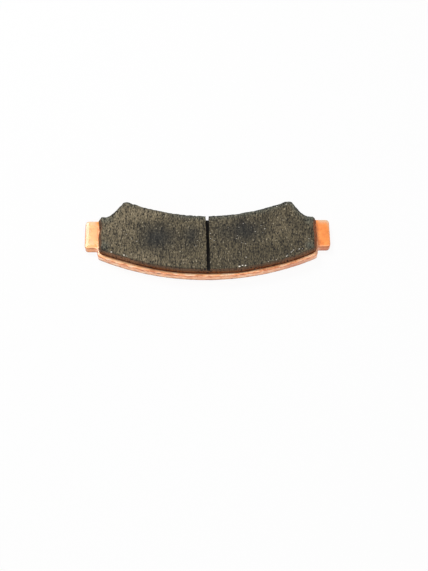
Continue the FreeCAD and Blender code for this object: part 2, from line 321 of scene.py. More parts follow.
def back_edge(plate, start, inset, end, corner):
    """Right half of an inner edge, from the pad's middle to the head of its end: the inner arc, the horn's
    round tip, the flank, which touches tip and scoop, the scoop, the shoulder and the corner's arc."""
    axis = disc_axis(plate)
    inner = plate.outer_radius - plate.radial_width + inset
    tip = plate.horn_tip - inset
    hollow = plate.scoop_radius + inset
    shoulder = plate.ear_width / 2 - inset
    horn_x = plate.body_length / 2 - plate.horn_setback
    horn = np.array((horn_x, axis - math.sqrt((inner + tip) ** 2 - horn_x ** 2)))
    scoop = np.array((plate.body_length / 2 - plate.shoulder_length, shoulder + hollow))
    touch = math.atan2(axis - horn[1], -horn[0])
    across = scoop - horn
    lean = math.atan2(across[1], across[0]) + math.acos((tip + hollow) / np.linalg.norm(across))
    return np.concatenate((
        arc((0, axis), inner, math.asin(start / inner) - math.pi / 2, touch - math.pi),
        arc(horn, tip, touch, lean),
        arc(scoop, hollow, lean + math.pi, 1.5 * math.pi),
        arc((end - corner, shoulder - corner), corner, math.pi / 2, 0),
    ))


def across_face(front, back, margin, rows):
    """Rows of points across a face, ruled straight from a front edge to a back edge: for each column the
    margin's distances from the front come first, then even rows, then the same distances from the back.
    Also gives each point's distance square to the front edge and to the back edge."""
    ruled = back - front
    reach = np.linalg.norm(ruled, axis=-1)
    margin = margin[:, None]
    even = np.linspace(0, 1, rows + 2)[1:-1, None]
    inside = margin[-1] + even * (reach - 2 * margin[-1])
    distance = np.concatenate((margin + 0 * reach, inside, reach - margin[::-1]))
    square_front, square_back = (
        np.abs(np.sum(ruled * outward(edge), axis=-1)) / reach for edge in (front, back))
    points = front + (distance / reach)[..., None] * ruled
    return points, distance * square_front, (reach - distance) * square_back


def quads(rows, columns, first):
    """Corner numbers of the squares of a grid of points, whose first point has the given number."""
    number = first + np.arange(rows * columns).reshape(rows, columns)
    square = (number[:-1, :-1], number[:-1, 1:], number[1:, 1:], number[1:, :-1])
    return np.stack(square, axis=-1).reshape(-1, 4)


def read_points(mesh, key):
    """A vector of every point of a mesh, such as its place or normal, as one array."""
    numbers = np.empty(len(mesh.vertices) * 3, np.float32)
    mesh.vertices.foreach_get(key, numbers)
    return numbers.reshape(-1, 3).astype(float)


def write_points(mesh, points):
    """Move every point of a mesh to its new place."""
    mesh.vertices.foreach_set("co", points.astype(np.float32).ravel())
    mesh.update()


def read_values(mesh, key):
    """An attribute of every point of a mesh, as one array."""
    numbers = np.empty(len(mesh.vertices), np.float32)
    mesh.attributes[key].data.foreach_get("value", numbers)
    return numbers.astype(float)


def write_values(mesh, key, numbers):
    """Keep one number for every point of a mesh as an attribute."""
    mesh.attributes.new(key, "FLOAT", "POINT").data.foreach_set("value", numbers.astype(np.float32))


def closed_mesh(name, grids, values):
    """A mesh object of several grids of points that share their borders. The shared points are merged, and
    the flat opening that is left underneath is closed by one face. values gives numbers for every point of
    every grid, by name, which become attributes of the mesh."""
    points = np.concatenate([grid.reshape(-1, 3) for grid in grids])
    firsts = np.cumsum([0] + [grid.shape[0] * grid.shape[1] for grid in grids[:-1]])
    faces = np.concatenate([quads(*grid.shape[:2], first) for grid, first in zip(grids, firsts)])
    mesh = bpy.data.meshes.new(name)
    mesh.from_pydata(points.tolist(), [], faces.tolist())
    for key, numbers in values.items():
        write_values(mesh, key, np.concatenate([part.ravel() for part in numbers]))
    shell = bmesh.new()
    shell.from_mesh(mesh)
    bmesh.ops.remove_doubles(shell, verts=shell.verts, dist=MERGE_DISTANCE)
    for face in shell.faces:
        face.smooth = True
    border = [edge for edge in shell.edges if edge.is_boundary]
    bottom = bmesh.ops.holes_fill(shell, edges=border, sides=0)["faces"]
    bmesh.ops.recalc_face_normals(shell, faces=shell.faces)
    bmesh.ops.triangulate(shell, faces=bottom)
    open_edges = sum(not edge.is_manifold for edge in shell.edges)
    shell.to_mesh(mesh)
    shell.free()
    if open_edges:
        raise RuntimeError(f"{name} has {open_edges} open edges")
    piece = bpy.data.objects.new(name, mesh)
    bpy.context.scene.collection.objects.link(piece)
    return piece


# Swellings and hollows of the block's pressed walls: place on the pad, push and reach, in millimetres.
SWELLS = (
    ((-45.7, 5.7), (-0.45, 0.0), 1.8), ((-46.2, 1.2), (0.35, 0.0), 1.1), ((-46.2, -2.3), (-0.2, 0.0), 1.0),
    ((-45.8, -7.4), (0.3, 0.1), 1.6), ((-40.3, 8.6), (-0.3, 0.2), 2.6), ((46.2, -2.5), (0.25, 0.0), 1.6),
    ((46.0, -7.6), (-0.15, 0.0), 1.2), ((45.4, 5.8), (0.4, -0.1), 1.8), ((-14.0, 7.5), (0.0, 0.3), 17.0),
    ((19.0, 8.0), (0.0, 0.15), 13.0), ((-34.0, -14.0), (0.0, 0.33), 8.0),
    ((14.0, -18.6), (0.0, -0.35), 8.0), ((35.2, 13.5), (0.4, -0.2), 2.6), ((43.8, 6.4), (0.0, -0.35), 2.2),
    ((-14.0, -18.6), (0.0, -0.12), 8.0), ((34.0, -14.0), (0.0, -0.15), 8.0),
)


def swollen(x, y):
    """How far the block's walls stray at each place, in metres: a bell-shaped push about every swelling."""
    shift = np.zeros((*x.shape, 2))
    for (swell_x, swell_y), push, reach in SWELLS:
        weight = bell(np.hypot(x - swell_x, y - swell_y), reach)
        shift += weight[..., None] * np.array(push) * MM
    return shift


def joined(left, right):
    """Values of the plate's two halves as one grid. The halves share the column at the pad's middle."""
    return np.concatenate((left[:, :0:-1], right), axis=1)


# Rows of points on the torn band, the sheared band and the roll of the plate's edge, and across its face.
TORN_ROWS, SHEARED_ROWS, ROLL_ROWS, PLATE_ROWS = 8, 6, 7, 22
# Distances from the edge of the plate's face at which rows of points follow the edge.
PLATE_MARGIN = np.array((0, 0.2, 0.5, 0.9, 1.4)) * MM
# Strip of the back face that the edge's profile starts with.
BACK_STRIP = 0.6 * MM
# Height of the step between the torn and the sheared band, and of the blend of their marks to each side.
BAND_STEP, BAND_BLEND = 0.12 * MM, 0.1 * MM
# How much further in the torn band stands at its foot than at its head, as a share of its depth.
TORN_LEAN = 0.4
# Slack below the last row of the roll, which counts as face.
EDGE_SLACK = 0.001 * MM
# Length over which the body's finish gives way to the ear's, in radii of the ear's root.
EAR_BLEND = 2
# Unevenness of the plate's edge: spacing along X, Y and Z and depth, in millimetres, and seed. The lines
# that the die drew on the sheared band come first, then the short and the long tears of the torn band.
EDGE_MARKS = (((0.5, 0.5, 9.0), 0.012, 11), ((1.4, 1.4, 0.45), 0.035, 12), ((6.0, 6.0, 0.8), 0.03, 13))


def plate_edges(plate):
    """Right half of the plate's front and back edges, as evenly spaced points. The front edge runs along
    the outer arc, round the plate's corner, up its end, round the ear's root and out to the ear's tip. The
    back edge runs to the tip's other corner."""
    end, half_ear = plate.body_length / 2, plate.ear_width / 2
    root, corner = plate.ear_root, plate.ear_corner
    front = np.concatenate((
        front_edge(plate, 0, plate.outer_radius, end, plate.plate_corner),
        arc((end + root, -half_ear - root), root, math.pi, math.pi / 2),
        arc((PLATE_HIGH.x - corner, corner - half_ear), corner, -math.pi / 2, 0),
    ))
    back = back_edge(plate, 0, 0, PLATE_HIGH.x, corner)
    count = int(along_path(back)[-1] / plate.mesh_step)
    return spaced(front, count), spaced(back, count)


def plate_profile(plate):
    """Blanked edge from its back to its front: distance in from the outline and height, one row each.

    A strip of the back face and its chamfer are followed by the torn band, which stands back and leans, a
    short step, the upright sheared band and the quarter circle that the die rolled."""
    top = PLATE_HIGH.z - plate.crown - plate.edge_roll
    step = top - plate.sheared_band
    torn = np.linspace(plate.edge_break, step, TORN_ROWS)
    sheared = np.linspace(step + BAND_STEP, top, SHEARED_ROWS)
    roll = np.linspace(0, math.pi / 2, ROLL_ROWS)[1:]
    foot = np.array((plate.edge_break + plate.tear_depth, 0))
    lower = np.stack((plate.tear_depth * (1 + TORN_LEAN * (1 - torn / step)), torn), axis=-1)
    upper = np.stack((0 * sheared, sheared), axis=-1)
    curl = np.stack((plate.edge_roll * (1 - np.cos(roll)), top + plate.edge_roll * np.sin(roll)), axis=-1)
    return np.concatenate(((foot + (BACK_STRIP, 0), foot), lower, upper, curl))


def edge_top(plate):
    """Height below which a point of the plate belongs to its edge."""
    return PLATE_HIGH.z - plate.crown - EDGE_SLACK


def build_plate(plate):
    """The plate: its edge profile carried round the outline, and its front face ruled from edge to edge.
    The face falls off towards the edge by the crown times the square of the way across the crown's strip."""
    end, half_ear = plate.body_length / 2, plate.ear_width / 2
    front, back = plate_edges(plate)
    profile = plate_profile(plate)
    inset, height = profile[:, :1, None], profile[:, 1:]
    front_wall = lifted(front - inset * outward(front), height)
    back_wall = lifted(back + inset * outward(back), height)
    walls = front_wall[..., :2], back_wall[..., :2]
    ruled = [across_face(low, high, PLATE_MARGIN, PLATE_ROWS) for low, high in zip(*walls)]
    face, from_front, from_back = ruled[-1]
    from_edge = np.minimum.reduce((from_front, from_back, face[-1, -1, 0] - face[..., 0]))
    fall = 1 - np.clip(from_edge / plate.crown_width, 0, 1)
    face = lifted(face, PLATE_HIGH.z - plate.crown * fall ** 2)
    half = np.concatenate((front_wall, face[1:-1], back_wall[::-1]))
    tip_wall = lifted(np.stack([points[:, -1] for points, _, _ in ruled]), height)
    grids = [joined(half * (-1, 1, 1), half), tip_wall, tip_wall * (-1, 1, 1)]

    # What each point belongs to, from 0 to 1. The walls start from zeros.
    blank, blank_tip = np.zeros(front_wall.shape[:2]), np.zeros(tip_wall.shape[:2])
    edge = [((grid[..., 2] > 0) & (grid[..., 2] < edge_top(plate))).astype(float) for grid in grids]
    ear = [smooth_step(np.abs(grid[..., 0]), end, end + EAR_BLEND * plate.ear_root) for grid in grids]
    bare = np.exp(-(from_front / BARE_REACH) ** 4) * (face[..., 0] < end)
    bare = np.concatenate((blank + (height > 0), bare[1:-1], blank))
    below = PLATE_HIGH.z - height
    worn = np.concatenate((blank, bell(from_back[1:-1], WORN_REACH), blank + bell(below[::-1], WORN_REACH)))
    tip_worn = bell(np.hypot(half_ear - tip_wall[..., 1], below), WORN_REACH)
    ledge = BLOCK_LOW.y - PLATE_LOW.y - plate.edge_roll
    # The dark line along the block's foot, on the plate's face, is painted contact shadow.
    foot_shadows = []
    for side in (-1, 1):
        stray = swollen(side * face[..., 0] / MM, face[..., 1] / MM)[..., 1]
        foot = smooth_step(from_front - stray, ledge - FOOT_SHADOW_REACH, ledge)
        foot *= face[..., 0] < end - plate.plate_corner
        foot_shadows.append(np.concatenate((blank, foot[1:-1], blank)))

    # Places on the edge, for the streaks that follow it: along the outline from the middle, and inwards.
    along_front, along_back = along_path(front), along_path(back)
    nearer = np.where(from_front < from_back, along_front, along_back)
    along = np.concatenate((blank + along_front, nearer[1:-1], blank + along_back))
    tip_along = blank_tip + np.linspace(along_front[-1], along_back[-1], blank_tip.shape[1])
    depth = blank + inset[..., 0]
    inward = np.concatenate((depth, from_edge[1:-1], depth[::-1]))
    tip_inward = blank_tip + inset[..., 0]
    piece = closed_mesh("plate_copper", grids, {
        "edge": edge,
        "bare": [joined(bare, bare), *edge[1:]],
        "foot": [joined(*foot_shadows), blank_tip, blank_tip],
        "worn": [joined(worn, worn), tip_worn, tip_worn],
        "ear": ear,
        "along": [joined(-along, along), tip_along, -tip_along],
        "inward": [joined(inward, inward), tip_inward, tip_inward],
    })
    roughen_edge(piece.data, plate)
    return piece


def roughen_edge(mesh, plate):
    """Make the plate's edge uneven: the sheared band carries fine upright lines from the die, and the torn
    band is hollowed and ridged along its length."""
    points, normals, edge = read_points(mesh, "co"), read_points(mesh, "normal"), read_values(mesh, "edge")
    step = edge_top(plate) - plate.edge_roll - plate.sheared_band
    torn = edge * (1 - smooth_step(points[:, 2], step - BAND_BLEND, step + BAND_BLEND))
    lines, tears, long_tears = (
        depth * MM * lattice_noise(points, np.array(spacing) * MM, seed)
        for spacing, depth, seed in EDGE_MARKS)
    shift = (edge - torn) * lines + torn * (tears + long_tears)
    shift *= smooth_step(points[:, 2], 0, plate.edge_break)
    write_points(mesh, points + normals * shift[:, None])


# Levels of points up the block's walls, below the bevel and on it.
FOOT_LEVELS, BEVEL_LEVELS = 6, 10
# Points down each wall of the saw cut, and across its floor.
CUT_DEPTH_POINTS, CUT_WIDTH_POINTS = 8, 7
# Distances from the edge of the block's face at which rows of points follow the edge.
BLOCK_MARGIN = np.array((0, 0.05, 0.11, 0.18, 0.26, 0.36, 0.5)) * MM
# Mean width of the block's face between front and back, as a share of the depth of its box.
FACE_SHARE = 0.72
# How much longer the block's curved edges are than half its length.
EDGE_EXTRA = 3 * MM
# How far the arris's radius wanders, as a share of it, and over which lengths.
ARRIS_WANDER, ARRIS_LENGTHS = 0.35, (1.1 * MM, 3.0 * MM)


def saw_floor(plate, block, y):
    """Height of the groove's floor: the arc that a saw of the given radius leaves at its lowest."""
    inner = disc_axis(plate) - plate.outer_radius + plate.radial_width - block.side_margin
    from_low = y - (inner - block.groove_low_point)
    rise = block.saw_radius - np.sqrt(block.saw_radius ** 2 - from_low ** 2)
    return BLOCK_LOW.z + block.groove_web + rise


def block_outlines(plate, block, levels):
    """Front and back edges of the block's right half at each level from 0, its foot, to 1, its face. The
    ends are upright up to the bevel and then stand further in the higher they are."""
    below_face = (1 - levels) * BLOCK_THICKNESS
    inset = block.end_bevel_depth * np.clip(1 - below_face / block.end_bevel_height, 0, 1)
    start, radius = block.groove_width / 2, disc_axis(plate) - BLOCK_LOW.y
    count = int((BLOCK_HIGH.x + EDGE_EXTRA) / block.mesh_step)
    fronts, backs = [], []
    for step in inset:
        end = BLOCK_HIGH.x - step
        corner = block.shoulder_corner * (1 - (1 - block.top_corner) * step / block.end_bevel_depth)
        fronts.append(spaced(front_edge(plate, start, radius, end, block.foot_corner), count))
        backs.append(spaced(back_edge(plate, start, block.side_margin, end, corner), count))
    return np.stack(fronts), np.stack(backs)


def saw_cut(plate, block, near, far, wall_rows):
    """Columns of the saw cut between the block's two halves: down one wall, across the floor and up the
    other. The walls of the block at the cut's two mouths are squeezed down to the height of the floor."""
    down = np.linspace(0, 1, CUT_DEPTH_POINTS)[1:]
    across = np.linspace(-1, 1, CUT_WIDTH_POINTS)[1:-1]
    depth = saw_floor(plate, block, near[..., 1])
    height = BLOCK_LOW.z + (near[..., 2] - BLOCK_LOW.z) / BLOCK_THICKNESS * (depth - BLOCK_LOW.z)
    on_top = slice(wall_rows, -wall_rows)
    height[on_top] = depth[on_top]
    walls = []
    for column, side in ((near, -1), (far, 1)):
        wall = np.repeat(column, len(down), axis=1)
        wall[..., 0] -= side * block.saw_flare * down
        wall[..., 2] += down * (height - column[..., 2])
        walls.append(wall)
    bed = np.repeat(near, len(across), axis=1)
    bed[..., 0] = across * (block.groove_width / 2 - block.saw_flare)
    bed[..., 2] = height
    return np.concatenate((walls[0], bed, walls[1][:, ::-1]), axis=1)


def build_block(plate, block):
    """The block: walls with bevelled ends, and a top face ruled from front to back, with the saw cut let in
    across the middle. The height of the top falls off as a quarter circle towards every edge."""
    knee = 1 - block.end_bevel_height / BLOCK_THICKNESS
    levels = np.concatenate((np.linspace(0, knee, FOOT_LEVELS), np.linspace(knee, 1, BEVEL_LEVELS)[1:]))
    front, back = block_outlines(plate, block, levels)
    rows = int((BLOCK_HIGH.y - BLOCK_LOW.y) * FACE_SHARE / block.mesh_step)
    face, from_front, from_back = across_face(front[-1], back[-1], BLOCK_MARGIN, rows)
    from_end = BLOCK_HIGH.x - block.end_bevel_depth - face[..., 0]
    from_cut = face[..., 0] - block.groove_width / 2 + block.arris - block.sawn_arris
    rim = np.maximum(np.minimum.reduce((from_front, from_back, from_end, from_cut)), 0)
    rise = levels[:, None]
    y = face[:, -1, 1]
    along = ((y - y[0]) / (y[-1] - y[0]))[:, None]
    end_wall = front[:, -1:] + along * (back[:, -1:] - front[:, -1:])

    # The arris is uneven: its radius wanders along the edge, on each side in its own way.
    halves, ends = [], []
    for side, seeds in ((-1, (21, 23)), (1, (22, 24))):
        flat = lifted(face, 0) * (side, 1, 1)
        wander = sum(lattice_noise(flat, spacing, seed) for spacing, seed in zip(ARRIS_LENGTHS, seeds))
        radius = block.arris * (1 + ARRIS_WANDER * wander)
        inside = np.clip(1 - rim / radius, 0, 1)
        top = BLOCK_HIGH.z - radius * (1 - np.sqrt(1 - inside ** 2))
        front_wall, back_wall, wall = (
            lifted(flat_wall, BLOCK_LOW.z + rise * (head - BLOCK_LOW.z))
            for flat_wall, head in ((front, top[0]), (back, top[-1]), (end_wall, top[:, -1])))
        half = np.concatenate((front_wall[:-1], lifted(face, top), back_wall[-2::-1]))
        halves.append(half * (side, 1, 1))
        ends.append(wall * (side, 1, 1))

    left, right = halves[0][:, ::-1], halves[1]
    wall_rows = len(levels) - 1
    cut = saw_cut(plate, block, left[:, -1:], right[:, :1], wall_rows)
    whole = np.concatenate((left, cut, right), axis=1)

    # What each point belongs to: the face, by the distance from its edge, the walls, the cut, the back edge
    # and the front arris of the left half. Walls and cut start from zeros.
    blank, blank_cut = np.zeros((wall_rows, rim.shape[1])), np.zeros(cut.shape[:2])
    below = np.broadcast_to((1 - levels[:-1, None]) * BLOCK_THICKNESS, blank.shape)
    rim = np.concatenate((blank, rim, blank))
    behind = np.concatenate((blank, bell(from_back, BACK_REACH), blank + 1))
    brow = np.concatenate((bell(below, BROW_REACH), bell(from_front, BROW_REACH), blank))
    rims, behinds, brows = (
        np.concatenate((half[:, ::-1], blank_cut, other), axis=1)
        for half, other in ((rim, rim), (behind, behind), (brow, 0 * brow)))
    walls, cuts = np.ones(whole.shape[:2]), np.zeros(whole.shape[:2])
    walls[wall_rows:-wall_rows] = 0
    cuts[wall_rows:-wall_rows, left.shape[1]:-right.shape[1]] = 1
    blank_end = np.zeros(ends[0].shape[:2])
    end_walls = blank_end + (levels < 1)[:, None]
    piece = closed_mesh("block_sintered", [whole, *ends], {
        "rim": [rims, blank_end, blank_end],
        "wall": [walls, end_walls, end_walls],
        "cut": [cuts, blank_end, blank_end],
        "behind": [behinds, blank_end, blank_end],
        "brow": [brows, blank_end, blank_end],
    })
    roughen_block(piece.data, plate, block)
    return piece


# Breaks in the friction face: place on the pad and half length along it, in millimetres, and how bright the
# break is painted: fresh metal, with a painted highlight where its far wall catches the light. Behind each
# is a pit where a grain fell out, painted dark as its shade.
CHIPS = (
    (13.25, -18.2, 0.45, 1.0), (14.5, -17.7, 0.36, 1.0), (15.8, -17.8, 0.36, 1.0),
    (25.5, -16.2, 0.3, 0.7), (28.8, -15.3, 0.3, 0.5), (33.1, -13.5, 0.3, 0.65),
    (33.6, -13.0, 0.26, 0.62), (34.1, -12.5, 0.22, 0.5), (35.1, -11.6, 0.28, 0.75),
    (35.6, -11.1, 0.24, 0.7), (36.1, -10.6, 0.24, 0.9), (38.6, -10.2, 0.32, 0.65),
    (39.8, -10.0, 0.26, 0.7), (42.9, -5.2, 0.3, 0.5), (16.1, -13.9, 0.35, 0.52),
    (14.5, -6.9, 0.3, 0.5), (15.9, -7.4, 0.3, 0.5), (2.6, -5.8, 0.25, 0.6),
    (-40.4, -11.2, 0.38, 0.8), (-35.1, -13.0, 0.35, 0.8), (-34.0, -13.4, 0.3, 0.62),
    (-29.9, -6.0, 0.3, 0.5), (-32.0, -4.8, 0.28, 0.5), (-34.4, -2.4, 0.3, 0.62),
    (29.8, 11.2, 0.3, 0.7), (33.7, 12.5, 0.3, 0.7), (35.7, 12.6, 0.25, 0.6),
    # The three chips at X 1.15 to 1.2 mm follow the right-hand arris of the saw cut: a painted highlight
    # where it catches the light.
    (-5.1, -8.4, 0.25, 0.75), (-4.4, -5.7, 0.25, 0.5), (1.15, 2.7, 0.27, 0.65),
    (1.15, -2.3, 0.27, 0.62), (1.2, -4.8, 0.27, 0.65), (8.8, 0.8, 0.28, 0.58),
    (13.4, 0.7, 0.28, 0.58), (15.3, 2.6, 0.28, 0.55), (18.7, 0.7, 0.26, 0.5),
    (22.8, 1.6, 0.28, 0.62), (24.3, -0.1, 0.3, 0.65), (20.3, -1.4, 0.28, 0.62),
    (12.7, -3.4, 0.28, 0.5), (12.2, -4.8, 0.28, 0.55), (23.5, -1.9, 0.28, 0.52),
)
# Width of a chip and of the pit behind it as shares of their length, and the pit's place, in half lengths.
CHIP_WIDTH, PIT_WIDTH, PIT_PLACE = 0.75, 0.8, (0.4, 1.6)
# Where a chip starts, in half lengths from its middle, how much the grain shifts that, and its rise.
CHIP_START, CHIP_GRAIN, CHIP_RISE = 1.3, 0.45, 0.6
# Deep pits in the walls: place on the pad and radius, in millimetres.
HOLES = ((-45.9, 2.1, 0.45),)
# Noises that make the block uneven: spacing, or one for each axis, in millimetres, and seed.
BLOCK_MARKS = {
    "grain": (0.45, 31), "coarse_grain": (1.0, 32), "streak": ((0.5, 3.0, 3.0), 33), "ragged": (0.9, 34),
    "ragged_wide": (2.2, 35), "pores": (0.7, 38),
}
# Pits of the face: spacing, smallest and largest radius, in millimetres, seed and depth. The grinding drew
# them out across the pad, which shrinks their pattern's coordinates along Y.
PITS = ((1.3, -0.4, 0.4, 36, 1.0), (0.8, -0.26, 0.25, 37, 0.8))
PIT_STRETCH = (1, 0.55, 1)
# Share of the coarse grain, the noise above which a wall has open pores, and how much darker the painted
# shade of such open pores is than that of a pit of the same depth.
COARSE_SHARE, PORE_LEVEL, PORE_DARKNESS = 0.7, 0.35, 2
# Strip of the face along its edge that is as ragged as the walls, and strip of the walls along their foot
# that stays true.
RAGGED_STRIP, TRUE_STRIP = 0.5 * MM, 0.4 * MM


def roughen_block(mesh, plate, block):
    """Make the block's true surfaces uneven: grains all over, grinding marks, pits and chips on the face,
    and ragged, swollen walls. The cut is turned a little. The foot stays on the plate, just below its crown.
    """
    points, normals = read_points(mesh, "co"), read_points(mesh, "normal")
    rim, wall, cut = (read_values(mesh, key) for key in ("rim", "wall", "cut"))
    face = (1 - wall) * (1 - cut)
    edge = np.maximum(wall, np.exp(-rim / RAGGED_STRIP))
    above_foot = smooth_step(points[:, 2], BLOCK_LOW.z, BLOCK_LOW.z + TRUE_STRIP)
    x, y = points[:, 0] / MM, points[:, 1] / MM
    marks = {key: lattice_noise(points, np.array(spacing) * MM, seed)
             for key, (spacing, seed) in BLOCK_MARKS.items()}
    grain = marks["grain"] + COARSE_SHARE * marks["coarse_grain"]
    pores = np.clip(marks["pores"] - PORE_LEVEL, 0, 1) * wall

    pits = np.zeros(len(points))
    for spacing, smallest, largest, seed, depth in PITS:
        field = pit_field(points * PIT_STRETCH, spacing * MM, smallest * MM, largest * MM, seed)
        pits = np.maximum(pits, depth * field)
    chips = np.zeros(len(points))
    for chip_x, chip_y, half, bright in CHIPS:
        gap = np.hypot(x - chip_x, (y - chip_y) / CHIP_WIDTH) / half
        chip = smooth_step(CHIP_START - gap + CHIP_GRAIN * grain, 0, CHIP_RISE)
        chips = np.maximum(chips, chip * face * bright)
        pit_x, pit_y = chip_x + PIT_PLACE[0] * half, chip_y + PIT_PLACE[1] * half
        pits = np.maximum(pits, 1 - (np.hypot(x - pit_x, (y - pit_y) / PIT_WIDTH) / half) ** 2)
    pits *= face
    for hole_x, hole_y, radius in HOLES:
        pores = np.maximum(pores, 1 - (np.hypot(x - hole_x, y - hole_y) / radius) ** 2)

    shift = block.grain_depth * (grain - 1) + block.streak_depth * marks["streak"] * face
    shift += block.ragged_depth * (marks["ragged"] + marks["ragged_wide"]) * edge
    shift -= block.pit_depth * np.maximum(pits, pores) + block.chip_depth * chips
    points += normals * (shift * above_foot)[:, None]
    points[:, :2] += swollen(x, y)
    beside_cut = bell(points[:, 0], block.skew_reach)
    points[:, 0] -= math.tan(block.groove_skew) * points[:, 1] * beside_cut
    points[:, 2] -= plate.crown * (1 - above_foot)
    points[:, 2] = np.minimum(points[:, 2], BLOCK_HIGH.z)
    write_points(mesh, points)
    # The pits' numbers also set their painted shade in the material.
    write_values(mesh, "pits", np.maximum(pits, PORE_DARKNESS * pores))
    write_values(mesh, "chips", chips)


def add(tree, kind, inputs=(), out=0, **settings):
    """Add a node: settings are its own properties, and inputs give each socket a value or the output that
    feeds it. Returns the node's output of that name or number."""
    made = tree.nodes.new(kind)
    for key, value in settings.items():
        setattr(made, key, value)
    for socket, value in dict(inputs).items():
        if isinstance(value, bpy.types.NodeSocket):
            tree.links.new(value, made.inputs[socket])
        else:
            made.inputs[socket].default_value = value
    return made.outputs[out] if made.outputs else None


def per_mm(*sizes):
    """Pattern scale that gives features of these sizes, in millimetres, on coordinates in metres."""
    return tuple(1 / (size * MM) for size in sizes)


def new_material(name):
    """An empty node material."""
    material = bpy.data.materials.new(name)
    material.use_nodes = True
    material.node_tree.nodes.clear()
    return material


# Sockets of a mix of two colours, and of a mix of two numbers.
FACTOR, FIRST, SECOND, MIXED = 0, 6, 7, 2
FIRST_NUMBER, SECOND_NUMBER = 2, 3
# Sockets of a noise and of a mask, in the order in which the materials list their values.
NOISE = ("Vector", "Scale", "Detail", "Roughness")
MASK = ("Value", "From Min", "From Max", "To Min", "To Max")
# From where to where a patch's mask rises, on its gradient times the noise.
PATCH_EDGE = (0.05, 0.4)
# How strongly the streaks of the plate's edge show on the bare strip in front of the block.
LEDGE_STREAKS = 0.55
# Share of the grinding streaks in the flecks of the friction face.
STREAK_SHARE = 0.35


def layered(tree, base, layers):
    """A colour with others laid over it in turn, each as far as its mask lets it show."""
    for mask, over in layers:
        base = add(tree, "ShaderNodeMix", {FACTOR: mask, FIRST: base, SECOND: over},
                   out=MIXED, data_type="RGBA")
    return base


def patches(tree, place, noise, colours, table):
    """Layers of a table of patches: the mask of each, and its colour. A mask is full at the patch's middle,
    nothing past its reach along X, Y and Z, both in millimetres, and broken up between them by a noise."""
    layers = []
    for key, middle, reach, strength in table:
        near = add(tree, "ShaderNodeMapping", {
            "Vector": place, "Location": [part * MM for part in middle],
            "Scale": [part * MM for part in reach]}, vector_type="TEXTURE")
        near = add(tree, "ShaderNodeTexGradient", {"Vector": near}, out="Fac", gradient_type="SPHERICAL")
        near = add(tree, "ShaderNodeMath", {0: near, 1: noise}, operation="MULTIPLY")
        mask = add(tree, "ShaderNodeMapRange", dict(zip(MASK, (near, *PATCH_EDGE, 0, strength))))
        layers.append((mask, getattr(colours, key)))
    return layers


# Stains and painted light and shade of the plating: colour, place, half sizes along X, Y and Z, in
# millimetres, and strength. Brown spots follow the arrises of the edge, the ears' roots and the plate's
# corners. The left ear is painted paler, a painted highlight, and the right end is redder, where the
# plating is thicker. The corner of the left end by the block's foot is painted shade, and a strip of the
# right ear next to the block is painted with the block's shadow.
STAINS = (
    ("tarnish_and_shade", (1.0, -21.0, 0.2), (2.4, 1.0, 0.8), 0.9),
    ("tarnish_and_shade", (10.2, -20.5, 0.3), (0.9, 1.0, 0.8), 0.9),
    ("tarnish_and_shade", (-20.6, -19.0, 2.6), (1.5, 1.2, 0.8), 0.8),
    ("tarnish_and_shade", (-16.2, -19.8, 2.5), (1.7, 1.2, 0.7), 0.7),
    # Painted highlight of the left ear.
    ("ledge_highlight", (-49.6, -6.4, 2.4), (5.0, 4.5, 3.4), 0.45),
    # Painted shade in the corner of the left end, by the block's foot.
    ("burnt_copper_and_shade", (-46.6, -9.2, 3.4), (1.8, 3.4, 1.4), 0.6),
    ("burnt_copper_and_shade", (49.6, -7.0, 1.6), (6.0, 1.2, 3.2), 0.6),
    ("burnt_copper_and_shade", (37.0, -14.5, 1.0), (16.0, 9.0, 3.4), 0.4),
    ("burnt_copper_and_shade", (36.0, -14.6, 1.2), (5.0, 3.5, 3.0), 0.45),
    ("tarnish_and_shade", (-49.3, -6.8, 3.2), (2.6, 0.7, 0.6), 0.6),
    # Painted shadow of the block on the right ear.
    ("tarnish_and_shade", (46.4, -4.0, 3.5), (2.0, 10.5, 2.0), 0.55),
    ("tarnish_and_shade", (46.2, -9.8, 3.4), (1.7, 2.8, 1.3), 0.5),
    ("tarnish_and_shade", (49.8, -6.75, 3.2), (4.5, 0.6, 0.5), 0.6),
)


